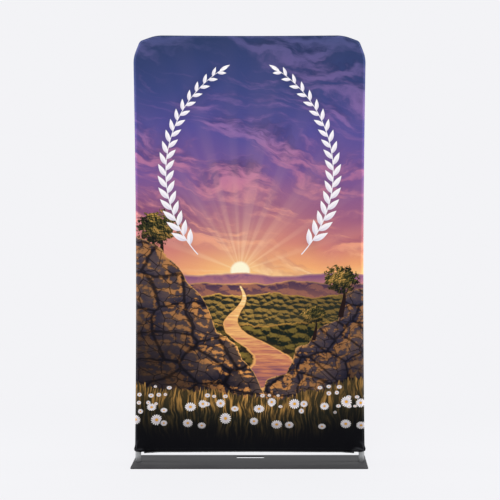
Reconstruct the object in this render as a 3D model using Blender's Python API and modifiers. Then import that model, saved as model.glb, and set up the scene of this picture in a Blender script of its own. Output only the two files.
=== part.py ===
# Church banner: a stretch-cloth sleeve over a tube frame, standing on a flat steel foot plate.
# Metres. +Z is up, the printed side faces -Y, and the origin is on the floor under the middle of the plate.

import math

import bmesh
import bpy
from mathutils import Vector

# Foot plate
PLATE_LENGTH = 1.238
PLATE_DEPTH = 0.305
PLATE_THICKNESS = 0.006
PLATE_CORNER = 0.008
PLATE_CORNER_STEPS = 4
SLOT_LENGTH = 0.150
SLOT_WIDTH = 0.042
SLOT_CORNER = 0.010
SLOT_CORNER_STEPS = 5
SLOT_FROM_REAR = 0.030

# Tube frame
TUBE_RADIUS = 0.015
TUBE_WALL = 0.0015
TUBE_ROUNDNESS = 6
POLE_SECTIONS = 9
BAR_SECTIONS = 6
SPIGOT_HEIGHT = 0.060
SPIGOT_CLEARANCE = 0.0005
SPIGOT_NOSE = 0.002
SPIGOT_SIDES = 16
SHOULDER_BEND = 0.190
APEX_BEND = 0.045
BEND_STEP = math.radians(10)
ELBOW_LEG = 0.050

# Cloth sleeve
COVER_WIDTH = 1.22
COVER_TOP = 2.26
CLOTH = 0.0012
CLOTH_CLEARANCE = 0.0008
WRAP = TUBE_RADIUS + CLOTH_CLEARANCE + CLOTH
WRAP_STEPS = 4
HALF_WIDTH = COVER_WIDTH / 2
POLE_X = HALF_WIDTH - WRAP

# Gaps between pieces that touch
SEAT = 0.0003
SEAM_HALF_GAP = 0.0004
BAR_GAP = 0.0008

# The sleeve's shoulder, as distances in from its side and down from its top
APEX_IN = 0.0335
APEX_DOWN = 0.0305
SIDE_KINK_DOWN = 0.115
TOP_KINK_IN = 0.118
KINK_ROUNDING = 0.012
CORNER_ZONE = 0.180
REACH_SHARES = (0.5, 1.4)  # the outline lies between these shares of the corner zone
REACH_HALVINGS = 40

# How the tight cloth draws the frame in
SIDE_BOW = 0.009
TOP_SAG = 0.003

# The closed hem between the poles
HEM_LEVEL = 0.0625
HEM_HALF_GAP = 0.0020
HEM_FADE = 0.080
ZIP_END = 0.554
PINCH_START = 0.006
PINCH_SOFTNESS = 0.002

# The hem's two lower corners stand out a little past the poles, most of all just above the hem
FLARE = 0.0048
FLARE_LEVEL = 0.010
FLARE_FADE = 0.014

# Hem height above the floor: distance in from the side seam, height
HEM_PROFILE = (
    (0.000, 0.0640),
    (0.018, 0.0610),
    (0.036, 0.0585),
    (0.056, 0.0575),
    (0.085, 0.0595),
    (0.135, 0.0625),
    (0.610, 0.0645),
)

# Zip strip under the hem
ZIP_HEIGHT = 0.0066
ZIP_THICKNESS = 0.0044
ZIP_EDGE = 0.0012
ZIP_SECTIONS = 24

# Bevels round only edges that turn more than this
SHARP_EDGE = math.radians(60)

# Finishes: colour, roughness, metallic
PLATE_GREY = ((0.070, 0.070, 0.075), 0.45, 0.0)
TUBE_SILVER = ((0.62, 0.62, 0.64), 0.35, 1.0)
PRINTED_CLOTH = ((0.12, 0.10, 0.24), 0.7, 0.0)
PLAIN_CLOTH = ((0.75, 0.75, 0.77), 0.8, 0.0)
ZIP_BLACK = ((0.015, 0.015, 0.017), 0.5, 0.0)

# Grid lines of a cloth panel: across the shoulder, across the middle, and above the hem
SHOULDER_LINES = (0.034, HALF_WIDTH - ZIP_END, 0.088, 0.115, 0.145, CORNER_ZONE)
INNER_COLUMNS = (0.280, 0.400, 0.510)
LOWER_ROWS = (0.0, 0.010, 0.025, 0.050, 0.090, 0.150, 0.250, 0.400, 0.600)
UPPER_ROWS = (0.850, 1.100, 1.350, 1.600, 1.850)


def clear_scene():
    for old in list(bpy.data.objects):
        bpy.data.objects.remove(old, do_unlink=True)


def make_collection(name):
    made = bpy.data.collections.new(name)
    bpy.context.scene.collection.children.link(made)
    return made


def make_material(name, finish):
    colour, roughness, metallic = finish
    made = bpy.data.materials.new(name)
    made.use_nodes = True
    shader = made.node_tree.nodes["Principled BSDF"]
    shader.inputs["Base Color"].default_value = (*colour, 1.0)
    shader.inputs["Roughness"].default_value = roughness
    shader.inputs["Metallic"].default_value = metallic
    return made


def add_object(name, data, collection, material):
    made = bpy.data.objects.new(name, data)
    if not data.materials:
        data.materials.append(material)
    collection.objects.link(made)
    return made


def smooth_step(value, low, high):
    share = min(1.0, max(0.0, (value - low) / (high - low)))
    return share * share * (3 - 2 * share)


def smooth_min(first, second):
    """The smaller of two distances, rounded where they are nearly equal."""
    near = max(KINK_ROUNDING - abs(first - second), 0.0)
    return min(first, second) - near * near / (4 * KINK_ROUNDING)


def line_distance(point, start, end):
    """Distance of a point from the line start-end, positive on the sleeve's side of it."""
    along = (end - start).normalized()
    return (point - start).dot(Vector((-along.y, along.x)))


def inset(point):
    """Distance inwards from the sleeve's outline, of a point given in from the side and down from the top."""
    apex = Vector((APEX_IN, APEX_DOWN))
    side_kink = Vector((0.0, SIDE_KINK_DOWN))
    top_kink = Vector((TOP_KINK_IN, 0.0))
    lower = smooth_min(point.x, line_distance(point, side_kink, apex))
    upper = smooth_min(point.y, line_distance(point, apex, top_kink))
    return smooth_min(lower, upper)


def shoulder_reach(angle):
    """How far the outline lies from the shoulder's inner corner, along a ray at this angle."""
    near, far = (CORNER_ZONE * share for share in REACH_SHARES)
    for _ in range(REACH_HALVINGS):
        middle = (near + far) / 2
        if inset(shoulder_point(angle, middle)) > 0:
            near = middle
        else:
            far = middle
    return near


def shoulder_point(angle, reach):
    return Vector((CORNER_ZONE - reach * math.cos(angle), CORNER_ZONE - reach * math.sin(angle)))


def around_shoulder(side_offset, top_offset):
    """Moves a point of the square shoulder onto rings that follow the real, cut-off outline."""
    across = CORNER_ZONE - side_offset
    up = CORNER_ZONE - top_offset
    if across <= 0 or up <= 0:
        return Vector((side_offset, top_offset))
    if across >= up:
        angle = math.radians(45) * up / across
    else:
        angle = math.radians(90) - math.radians(45) * across / up
    ring = max(across, up) / CORNER_ZONE
    return shoulder_point(angle, ring * shoulder_reach(angle))


def hem_height(side_offset):
    """The hem's height at this distance in from the side seam, read from the profile with soft joins."""
    rows = HEM_PROFILE
    for (start, low), (end, high) in zip(rows, rows[1:]):
        if side_offset <= end:
            return low + (high - low) * smooth_step(side_offset, start, end)
    return rows[-1][1]


def pinch(x, above_hem):
    """How far the closed hem draws the two cloth faces together, 0 to 1, as a stretched membrane would."""
    span = 2 * POLE_X
    from_pole = POLE_X - abs(x)
    if from_pole <= 0:
        return 0.0
    rise = math.sinh(math.pi * (above_hem + PINCH_SOFTNESS) / span)
    drawn = 2 / math.pi * math.atan(math.sin(math.pi * from_pole / span) / rise)
    return drawn * smooth_step(from_pole, PINCH_START, POLE_X - ZIP_END)


def settle(x, z):
    """The tight cloth bows the poles inwards and lets the top bar sag a little."""
    lowest = PLATE_THICKNESS + SPIGOT_HEIGHT
    highest = COVER_TOP - SIDE_KINK_DOWN
    share = min(1.0, max(0.0, (z - lowest) / (highest - lowest)))
    bow = SIDE_BOW * math.sin(math.pi * share)
    sag = TOP_SAG * (1 - (x / HALF_WIDTH) ** 2) ** 2 * (z / COVER_TOP) ** 4
    return x - bow * min(1.0, max(-1.0, x / POLE_X)), z - sag


def cloth_point(side, side_offset, z, facing):
    """A point of the sleeve's outer face: side is -1 or 1, facing -1 at the front and 1 at the back."""
    above_hem = z - HEM_LEVEL
    edge = around_shoulder(side_offset, COVER_TOP - z)
    inward = min(WRAP, max(0.0, inset(edge)))
    depth = math.sqrt(WRAP**2 - (WRAP - inward) ** 2)
    x = side * (HALF_WIDTH - edge.x)
    depth -= (depth - HEM_HALF_GAP) * pinch(x, above_hem)
    swell = math.exp(-(((above_hem - FLARE_LEVEL) / FLARE_FADE) ** 2))
    flare = FLARE * swell * smooth_step(-edge.x, -WRAP, 0)
    level = COVER_TOP - edge.y
    level += (hem_height(side_offset) - HEM_LEVEL) * math.exp(-above_hem / HEM_FADE)
    x, level = settle(x, level)
    return Vector((x + side * flare, facing * (depth + SEAM_HALF_GAP), level))


def edge_offsets():
    """Grid lines next to an edge: round the tube first, then across the shoulder."""
    wrap = [WRAP * (1 - math.cos(math.radians(90) * step / WRAP_STEPS)) for step in range(WRAP_STEPS + 1)]
    return [*wrap, *SHOULDER_LINES]


def column_offsets():
    """Signed columns from the left seam to the right one, as (side, distance in from that side)."""
    half = [*edge_offsets(), *INNER_COLUMNS]
    left = [(-1, offset) for offset in half]
    right = [(1, offset) for offset in reversed(half)]
    return left + [(-1, HALF_WIDTH)] + right


def row_heights():
    high = [COVER_TOP - offset for offset in reversed(edge_offsets())]
    return [HEM_LEVEL + height for height in LOWER_ROWS + UPPER_ROWS] + high


def make_panel(name, facing, collection, material):
    """One face of the sleeve: a grid laid over the frame, with its own thickness inwards."""
    columns, rows = column_offsets(), row_heights()
    shape = bmesh.new()
    half = 0.5
    bmesh.ops.create_grid(shape, x_segments=len(columns) - 1, y_segments=len(rows) - 1, size=half)
    for vertex in shape.verts:
        # A unit grid's own x and y say which column and row the point belongs to.
        side, offset = columns[round((vertex.co.x + half) * (len(columns) - 1))]
        height = rows[round((vertex.co.y + half) * (len(rows) - 1))]
        vertex.co = cloth_point(side, offset, height, facing)
    if facing > 0:
        bmesh.ops.reverse_faces(shape, faces=shape.faces[:])
    mesh = bpy.data.meshes.new(name)
    shape.to_mesh(mesh)
    shape.free()
    mesh.shade_smooth()
    panel = add_object(name, mesh, collection, material)
    thickness = panel.modifiers.new("cloth", "SOLIDIFY")
    thickness.thickness = CLOTH
    thickness.offset = -1
    thickness.use_even_offset = True
    return panel


def rounded_path(corners, bends):
    """Points along straight runs whose inner corners are rounded to the given radii."""
    points = [corners[0]]
    for before, corner, after, radius in zip(corners, corners[1:], corners[2:], bends):
        arriving = (corner - before).normalized()
        leaving = (after - corner).normalized()
        turn = arriving.angle(leaving)
        tangent = radius * math.tan(turn / 2)
        centre = corner + (leaving - arriving).normalized() * radius / math.cos(turn / 2)
        count = max(2, math.ceil(turn / BEND_STEP))
        start = corner - arriving * tangent - centre
        for index in range(count + 1):
            angle = turn * index / count
            points.append(centre + start * math.cos(angle) + arriving * radius * math.sin(angle))
    return points + [corners[-1]]


def elbow_corners(side):
    """The elbow's centre line before rounding: the shoulder's straight runs, moved in by the wrap."""
    outline = [
        Vector((0.0, COVER_TOP)),
        Vector((0.0, SIDE_KINK_DOWN)),
        Vector((APEX_IN, APEX_DOWN)),
        Vector((TOP_KINK_IN, 0.0)),
        Vector((HALF_WIDTH, 0.0)),
    ]
    moved = []
    for before, corner, after in zip(outline, outline[1:], outline[2:]):
        arriving = (corner - before).normalized()
        leaving = (after - corner).normalized()
        inwards = (leaving - arriving).normalized()
        moved.append(corner + inwards * WRAP / math.cos(arriving.angle(leaving) / 2))
    lower_end = moved[0] + Vector((0.0, ELBOW_LEG))
    upper_end = moved[-1] + Vector((ELBOW_LEG, 0.0))
    corners = [lower_end, *moved, upper_end]
    return [Vector((side * (HALF_WIDTH - point.x), 0.0, COVER_TOP - point.y)) for point in corners]


def settled(points):
    moved = []
    for point in points:
        x, z = settle(point.x, point.z)
        moved.append(Vector((x, point.y, z)))
    return moved


def make_tube(name, points, collection, material):
    """A hollow round tube along a path: an open skin with the wall's thickness inwards."""
    line = bpy.data.curves.new(name, "CURVE")
    line.dimensions = "3D"
    line.bevel_depth = TUBE_RADIUS
    line.bevel_resolution = TUBE_ROUNDNESS
    spline = line.splines.new("POLY")
    spline.points.add(len(points) - 1)
    for target, point in zip(spline.points, points):
        target.co = (*point, 1.0)
    drawn = bpy.data.objects.new(name + "_line", line)
    collection.objects.link(drawn)
    bpy.context.view_layer.update()
    skin = bpy.data.meshes.new_from_object(drawn.evaluated_get(bpy.context.evaluated_depsgraph_get()))
    bpy.data.objects.remove(drawn)
    skin.name = name
    skin.materials.clear()
    skin.shade_smooth()
    tube = add_object(name, skin, collection, material)
    wall = tube.modifiers.new("wall", "SOLIDIFY")
    wall.thickness = TUBE_WALL
    wall.offset = -1
    wall.use_even_offset = True
    return tube


def make_frame(collection, material):
    """Two bowed poles, two shoulder elbows and the bar between them, butted end to end."""
    foot = PLATE_THICKNESS + SEAT
    for side, word in ((-1, "left"), (1, "right")):
        corners = elbow_corners(side)
        elbow = rounded_path(corners, (SHOULDER_BEND, APEX_BEND, SHOULDER_BEND))
        make_tube("elbow_" + word, settled(elbow), collection, material)
        straight_end = foot + SPIGOT_HEIGHT
        rise = (corners[0].z - SEAT - straight_end) / POLE_SECTIONS
        heights = [foot] + [straight_end + rise * index for index in range(POLE_SECTIONS + 1)]
        pole = [Vector((side * POLE_X, 0.0, height)) for height in heights]
        make_tube("pole_" + word, settled(pole), collection, material)
    bar_end = elbow_corners(1)[-1].x - BAR_GAP
    stations = [bar_end * (2 * index / BAR_SECTIONS - 1) for index in range(BAR_SECTIONS + 1)]
    bar = [Vector((x, 0.0, COVER_TOP - WRAP)) for x in stations]
    make_tube("top_bar", settled(bar), collection, material)


def make_spigot(name, side, collection, material):
    """The pin on the plate that a pole drops over."""
    radius = TUBE_RADIUS - TUBE_WALL - SPIGOT_CLEARANCE
    sizes = {"segments": SPIGOT_SIDES, "radius1": radius, "radius2": radius, "depth": SPIGOT_HEIGHT}
    shape = bmesh.new()
    bmesh.ops.create_cone(shape, cap_ends=True, **sizes)
    mesh = bpy.data.meshes.new(name)
    shape.to_mesh(mesh)
    shape.free()
    spigot = add_object(name, mesh, collection, material)
    spigot.location = (side * POLE_X, 0.0, PLATE_THICKNESS + SEAT + SPIGOT_HEIGHT / 2)
    nose = spigot.modifiers.new("nose", "BEVEL")
    nose.width = SPIGOT_NOSE
    nose.segments = 1
    nose.limit_method = "ANGLE"
    nose.angle_limit = SHARP_EDGE
    return spigot


def rounded_rectangle(centre, length, width, radius, arc_steps):
    """Corner arcs of a rounded rectangle, anticlockwise."""
    points = []
    for quarter, (right, up) in enumerate(((1, 1), (-1, 1), (-1, -1), (1, -1))):
        middle = centre + Vector((right * (length / 2 - radius), up * (width / 2 - radius)))
        for step in range(arc_steps + 1):
            angle = math.radians(90) * (quarter + step / arc_steps)
            points.append(middle + radius * Vector((math.cos(angle), math.sin(angle))))
    return points


def make_plate(collection, material):
    """The steel foot plate with its hand slot near the rear edge, as one flat outline."""
    slot_y = PLATE_DEPTH / 2 - SLOT_FROM_REAR - SLOT_WIDTH / 2
    outline = bpy.data.curves.new("base_plate", "CURVE")
    outline.dimensions = "2D"
    outline.fill_mode = "BOTH"
    outline.extrude = PLATE_THICKNESS / 2
    edge = rounded_rectangle(Vector((0, 0)), PLATE_LENGTH, PLATE_DEPTH, PLATE_CORNER, PLATE_CORNER_STEPS)
    slot = rounded_rectangle(Vector((0, slot_y)), SLOT_LENGTH, SLOT_WIDTH, SLOT_CORNER, SLOT_CORNER_STEPS)
    for ring in (edge, slot):
        spline = outline.splines.new("POLY")
        spline.use_cyclic_u = True
        spline.points.add(len(ring) - 1)
        for target, point in zip(spline.points, ring):
            target.co = (point.x, point.y, 0.0, 1.0)
    plate = add_object("base_plate", outline, collection, material)
    plate.location.z = PLATE_THICKNESS / 2
    return plate


def make_zip(collection, material):
    """The closed zip under the hem: a rounded strip that follows the hem's shallow arch."""
    shape = bmesh.new()
    bmesh.ops.create_cube(shape, size=1.0)
    bmesh.ops.scale(shape, vec=(2 * ZIP_END, ZIP_THICKNESS, ZIP_HEIGHT), verts=shape.verts)
    for section in range(1, ZIP_SECTIONS):
        # Sections crowd towards the ends, where the hem droops.
        x = -ZIP_END * math.cos(math.pi * section / ZIP_SECTIONS)
        everything = shape.verts[:] + shape.edges[:] + shape.faces[:]
        bmesh.ops.bisect_plane(shape, geom=everything, plane_co=(x, 0, 0), plane_no=(1, 0, 0))
    for vertex in shape.verts:
        vertex.co.z += hem_height(HALF_WIDTH - abs(vertex.co.x)) - SEAT - ZIP_HEIGHT / 2
    mesh = bpy.data.meshes.new("zip")
    shape.to_mesh(mesh)
    shape.free()
    strip = add_object("zip", mesh, collection, material)
    edges = strip.modifiers.new("edges", "BEVEL")
    edges.width = ZIP_EDGE
    edges.segments = 1
    edges.limit_method = "ANGLE"
    edges.angle_limit = SHARP_EDGE
    return strip


def main():
    clear_scene()
    banner = make_collection("church_banner")
    steel = make_material("plate_grey", PLATE_GREY)
    aluminium = make_material("tube_silver", TUBE_SILVER)
    printed = make_material("printed_cloth", PRINTED_CLOTH)
    plain = make_material("plain_cloth", PLAIN_CLOTH)
    black = make_material("zip_black", ZIP_BLACK)
    make_plate(banner, steel)
    make_spigot("spigot_left", -1, banner, steel)
    make_spigot("spigot_right", 1, banner, steel)
    make_frame(banner, aluminium)
    make_panel("front_panel", -1, banner, printed)
    make_panel("back_panel", 1, banner, plain)
    make_zip(banner, black)


main()
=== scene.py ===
import math

import bmesh
import bpy
import numpy as np
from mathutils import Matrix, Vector


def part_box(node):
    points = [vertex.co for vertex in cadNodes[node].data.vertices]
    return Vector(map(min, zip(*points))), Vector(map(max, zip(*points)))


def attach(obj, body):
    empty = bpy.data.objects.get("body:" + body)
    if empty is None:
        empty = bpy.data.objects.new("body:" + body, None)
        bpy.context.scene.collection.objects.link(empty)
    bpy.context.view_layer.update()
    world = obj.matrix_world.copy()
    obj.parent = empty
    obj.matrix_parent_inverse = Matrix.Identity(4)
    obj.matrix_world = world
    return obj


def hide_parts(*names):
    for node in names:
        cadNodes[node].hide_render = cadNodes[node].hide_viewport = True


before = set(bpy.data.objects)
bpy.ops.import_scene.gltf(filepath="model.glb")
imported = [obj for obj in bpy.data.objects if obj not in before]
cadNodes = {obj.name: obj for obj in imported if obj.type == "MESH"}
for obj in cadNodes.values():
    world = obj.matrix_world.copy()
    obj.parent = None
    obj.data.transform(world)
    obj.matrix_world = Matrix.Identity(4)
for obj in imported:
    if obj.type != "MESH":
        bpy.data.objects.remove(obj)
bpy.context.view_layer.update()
collection = bpy.context.scene.collection
print("frame loaded:", len(cadNodes), "solids")


# small helpers

def tint(red, green, blue):
    channels = [value / 255 for value in (red, green, blue)]
    linear = [c / 12.92 if c <= 0.04045 else ((c + 0.055) / 1.055) ** 2.4 for c in channels]
    return (*linear, 1.0)


def smoothStep(value, low, high):
    share = np.clip((value - low) / (high - low), 0, 1)
    return share * share * (3 - 2 * share)


def placed(name, data):
    made = bpy.data.objects.new(name, data)
    collection.objects.link(made)
    return made


def addPiece(name, mesh, material, standsFor=()):
    piece = placed(name, mesh)
    mesh.materials.clear()
    mesh.materials.append(material)
    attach(piece, "root")
    if standsFor:
        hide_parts(*standsFor)
    return piece


def bakedMesh(source, name):
    # the evaluated shape as a plain mesh, then the helper object goes
    depsgraph = bpy.context.evaluated_depsgraph_get()
    mesh = bpy.data.meshes.new_from_object(source.evaluated_get(depsgraph), depsgraph=depsgraph)
    mesh.name = name
    mesh.transform(source.matrix_world)
    bpy.data.objects.remove(source)
    return mesh


def meshFrom(shape, name):
    mesh = bpy.data.meshes.new(name)
    shape.to_mesh(mesh)
    shape.free()
    return mesh


# the cloth sleeve's shape, with the sizes of its solids

sleeve = {
    "halfWidth": 0.61,
    "top": 2.26,
    "tubeRadius": 0.015,
    "clearance": 0.0008,
    "cloth": 0.0012,
    "apexIn": 0.0335,
    "apexDown": 0.0305,
    "sideKink": 0.115,
    "topKink": 0.118,
    "kinkRounding": 0.012,
    "cornerZone": 0.18,
    "reachSpan": (0.5, 1.4),
    "halvings": 40,
    "plateTop": 0.006,
    "spigot": 0.060,
    "sideBow": 0.009,
    "topSag": 0.003,
    "hemLevel": 0.0625,
    "hemHalfGap": 0.002,
    "hemFade": 0.080,
    "zipEnd": 0.554,
    "pinchStart": 0.006,
    "pinchSoftness": 0.002,
    "flare": 0.0048,
    "flareTop": 0.0100,
    "flareFade": 0.0140,
    "seamHalfGap": 0.0004,
}
hemRows = [  # distance in from the side seam, height of the hem
    (0.000, 0.0640),
    (0.018, 0.0610),
    (0.036, 0.0585),
    (0.056, 0.0575),
    (0.085, 0.0595),
    (0.135, 0.0625),
    (0.610, 0.0645),
]
wrap = sleeve["tubeRadius"] + sleeve["clearance"] + sleeve["cloth"]
poleX = sleeve["halfWidth"] - wrap

# what only the fine cloth has
dressing = {
    "seamDip": 0.0011,  # the sewn edge sinks into a groove
    "seamWidth": 0.0022,
    "hemTall": 0.014,  # turned-up hem
    "hemRaise": 0.0004,
    "hemEdge": 0.002,
    "pleatDepth": 0.0011,
    "pleatPitch": 0.0155,
    "pleatTall": 0.050,
    "pleatFrom": 0.024,
    "pleatTo": 0.115,
    "pleatFade": (0.02, 0.05),
    "pleatLean": 0.25,
    "slowPitch": 1.7,  # a second, weaker run of pleats, its pitch and depth as shares of the first
    "slowLean": -0.6,
    "slowDepth": 0.5,
    "shoulderFold": 0.0006,
    "foldCount": 17,
    "foldReach": 0.45,
    "wave": 0.0007,
    "waveTurns": ((3.1, 1.7), (-1.1, 2.3)),
    "flatFrom": 0.12,
    "creaseClear": (0.004, 0.012),  # creases die away towards the seam
    "wrapSteps": 10,
    "finest": 0.0018,
    "fineShare": 0.6,
    "coarsest": 0.020,
    "growth": 1.10,
}


def smoothMin(first, second):
    near = np.maximum(sleeve["kinkRounding"] - np.abs(first - second), 0)
    return np.minimum(first, second) - near * near / (4 * sleeve["kinkRounding"])


def lineDistance(across, down, start, end):
    dx, dy = end[0] - start[0], end[1] - start[1]
    length = math.hypot(dx, dy)
    return ((across - start[0]) * -dy + (down - start[1]) * dx) / length


def inset(across, down):
    # distance inwards from the sleeve's outline
    apex = (sleeve["apexIn"], sleeve["apexDown"])
    lower = smoothMin(across, lineDistance(across, down, (0, sleeve["sideKink"]), apex))
    upper = smoothMin(down, lineDistance(across, down, apex, (sleeve["topKink"], 0)))
    return smoothMin(lower, upper)


def shoulderReach(angle):
    # halves the span in which the outline lies, until it is found
    zone = sleeve["cornerZone"]
    near, far = (np.full_like(angle, zone * share) for share in sleeve["reachSpan"])
    for _ in range(sleeve["halvings"]):
        middle = (near + far) / 2
        inside = inset(zone - middle * np.cos(angle), zone - middle * np.sin(angle)) > 0
        near, far = np.where(inside, middle, near), np.where(inside, far, middle)
    return near


def aroundShoulder(across, down):
    # bends the square corner onto rings that follow the cut-off outline
    zone = sleeve["cornerZone"]
    right, up = zone - across, zone - down
    bent = (right > 0) & (up > 0)
    safeRight, safeUp = np.where(bent, right, 1.0), np.where(bent, up, 1.0)
    wide = safeRight >= safeUp
    quarter = math.radians(45)
    angle = np.where(wide, quarter * safeUp / safeRight, 2 * quarter - quarter * safeRight / safeUp)
    reach = np.maximum(safeRight, safeUp) / zone * shoulderReach(angle)
    newAcross = np.where(bent, zone - reach * np.cos(angle), across)
    newDown = np.where(bent, zone - reach * np.sin(angle), down)
    return newAcross, newDown


def hemHeight(offset):
    height = np.full_like(offset, hemRows[-1][1])
    for (start, low), (end, high) in reversed(list(zip(hemRows, hemRows[1:]))):
        height = np.where(offset <= end, low + (high - low) * smoothStep(offset, start, end), height)
    return height


def pinch(x, aboveHem):
    span = 2 * poleX
    fromPole = np.maximum(poleX - np.abs(x), 1e-9)
    rise = np.sinh(math.pi * (aboveHem + sleeve["pinchSoftness"]) / span)
    drawn = 2 / math.pi * np.arctan(np.sin(math.pi * fromPole / span) / rise)
    return drawn * smoothStep(fromPole, sleeve["pinchStart"], poleX - sleeve["zipEnd"])


def settle(x, z):
    # the tight cloth bows the poles inwards and lets the top sag a little
    lowest = sleeve["plateTop"] + sleeve["spigot"]
    share = np.clip((z - lowest) / (sleeve["top"] - sleeve["sideKink"] - lowest), 0, 1)
    bow = sleeve["sideBow"] * np.sin(math.pi * share)
    sag = sleeve["topSag"] * (1 - (x / sleeve["halfWidth"]) ** 2) ** 2 * (z / sleeve["top"]) ** 4
    return x - bow * np.clip(x / poleX, -1, 1), z - sag


def sleevePoints(side, offset, level, facing):
    # side is -1 or 1, and facing is -1 at the front; fromSeam is the way round the tube from the seam
    aboveHem = level - sleeve["hemLevel"]
    across, down = aroundShoulder(offset, sleeve["top"] - level)
    inward = np.clip(inset(across, down), 0, wrap)
    depth = np.sqrt(wrap**2 - (wrap - inward) ** 2)
    fromSeam = wrap * np.arccos(np.clip(1 - inward / wrap, -1, 1)) + np.maximum(inset(across, down) - wrap, 0)
    x = side * (sleeve["halfWidth"] - across)
    depth = depth - (depth - sleeve["hemHalfGap"]) * pinch(x, aboveHem)
    swell = np.exp(-(((aboveHem - sleeve["flareTop"]) / sleeve["flareFade"]) ** 2))
    flare = sleeve["flare"] * swell * smoothStep(-across, -wrap, 0)
    z = sleeve["top"] - down
    z = z + (hemHeight(offset) - sleeve["hemLevel"]) * np.exp(-aboveHem / sleeve["hemFade"])
    x, z = settle(x, z)
    points = np.stack([x + side * flare, facing * (depth + sleeve["seamHalfGap"]), z], -1)
    return points, fromSeam


def spreadLines(lines, end, fineTo=0.0):
    # goes on with grid lines wider and wider apart, and fine enough for the pleats up to fineTo
    lines, gap = list(lines), dressing["finest"]
    while lines[-1] + gap < end:
        lines.append(lines[-1] + gap)
        widest = dressing["coarsest"] if lines[-1] > fineTo else dressing["pleatPitch"] / 5
        gap = min(gap * dressing["growth"], widest)
    return np.array(lines + [end])


def edgeLines(end):
    # in from an edge: round the tube, then across the flat
    turns = np.linspace(0, math.pi / 2, dressing["wrapSteps"] + 1)
    return spreadLines(wrap * (1 - np.cos(turns)), end, dressing["pleatTo"] * dressing["fineShare"])


def bothSides(half):
    # distances in from the nearer side seam, from left to right, and the side of each
    columns = np.concatenate([half, half[-2::-1]])
    return columns, np.where(np.arange(len(columns)) < len(half), -1.0, 1.0)


def gridNormals(points):
    alongRow = np.gradient(points, axis=1)
    alongColumn = np.gradient(points, axis=0)
    normals = np.cross(alongRow, alongColumn)
    return normals / np.linalg.norm(normals, axis=-1, keepdims=True)


covers = {  # which way each faces, and where its waves and pleats start
    "front": {"facing": -1, "phase": 0.6},
    "back": {"facing": 1, "phase": 2.1},
}
creaseBow = 0.12  # share of its length that a crease bows by
creaseEnds = ((-0.1, 0.25), (0.6, 1.1))  # shares of its length over which it deepens and fades
creases = [  # side, both ends as distance in from the side seam and height above the hem, half width, depth
    (1, (0.006, 0.004), (0.062, 0.019), 0.0042, 0.0018),
    (1, (0.028, 0.003), (0.075, 0.006), 0.0036, 0.0014),
    (1, (0.004, 0.022), (0.030, 0.058), 0.0055, 0.0009),
    (-1, (0.008, 0.006), (0.048, 0.013), 0.0045, 0.0012),
    (-1, (0.005, 0.026), (0.022, 0.064), 0.0055, 0.0007),
]


def creaseDepth(side, offset, aboveHem):
    total = np.zeros_like(offset)
    for creaseSide, start, end, half, depth in creases:
        along = np.array(end) - np.array(start)
        length = np.hypot(*along)
        spotX, spotY = offset - start[0], aboveHem - start[1]
        share = (spotX * along[0] + spotY * along[1]) / length**2
        away = (spotY * along[0] - spotX * along[1]) / length
        bowed = away - creaseBow * length * np.sin(math.pi * np.clip(share, 0, 1))
        ends = smoothStep(share, *creaseEnds[0]) * (1 - smoothStep(share, *creaseEnds[1]))
        total += np.where(side == creaseSide, depth * ends * np.exp(-((bowed / half) ** 2)), 0)
    return total


def dressCloth(points, normals, side, offset, level, fromSeam, phase):
    # seam groove, turned hem, pleats by the zip ends, creases, folds at the shoulders and a faint wave
    dip = -dressing["seamDip"] * np.exp(-((fromSeam / dressing["seamWidth"]) ** 2))
    aboveHem = level - sleeve["hemLevel"]
    tall = dressing["hemTall"]
    hem = dressing["hemRaise"] * (1 - smoothStep(aboveHem, tall, tall + dressing["hemEdge"]))
    turns = 2 * math.pi / dressing["pleatPitch"]
    pleat = np.sin(turns * (offset + dressing["pleatLean"] * aboveHem) + phase)
    slow = turns / dressing["slowPitch"] * (offset + dressing["slowLean"] * aboveHem)
    pleat += dressing["slowDepth"] * np.sin(slow + 2 * phase)
    first, last, (rise, fall) = dressing["pleatFrom"], dressing["pleatTo"], dressing["pleatFade"]
    band = smoothStep(offset, first, first + rise) * (1 - smoothStep(offset, last - fall, last))
    pleat *= dressing["pleatDepth"] * band * np.exp(-aboveHem / dressing["pleatTall"])
    fromTop = sleeve["top"] - level
    fromCorner = np.hypot(offset, fromTop) / (dressing["foldReach"] * sleeve["cornerZone"])
    turn = np.arctan2(fromTop + 1e-6, offset + 1e-6)
    fold = dressing["shoulderFold"] * np.sin(turn * dressing["foldCount"] + phase) * np.exp(-fromCorner**2)
    fold *= smoothStep(fromSeam, wrap * 1.2, wrap * 3)
    wave = dressing["wave"] * smoothStep(fromSeam, wrap * 1.5, dressing["flatFrom"])
    for step, (across, up) in enumerate(dressing["waveTurns"], 1):
        wave = wave * np.sin(across * points[..., 0] + up * points[..., 2] + step * phase)
    crease = creaseDepth(side, offset, aboveHem) * smoothStep(fromSeam, *dressing["creaseClear"])
    return points + normals * (dip + hem + pleat + fold + wave - crease)[..., None]


def dressedPoints(side, offset, level, word):
    facing, phase = covers[word]["facing"], covers[word]["phase"]
    points, fromSeam = sleevePoints(side, offset, level, facing)
    normals = gridNormals(points)
    normals *= np.sign((normals[..., 1] * facing).sum())
    return dressCloth(points, normals, side, offset, level, fromSeam, phase), normals, fromSeam


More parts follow.
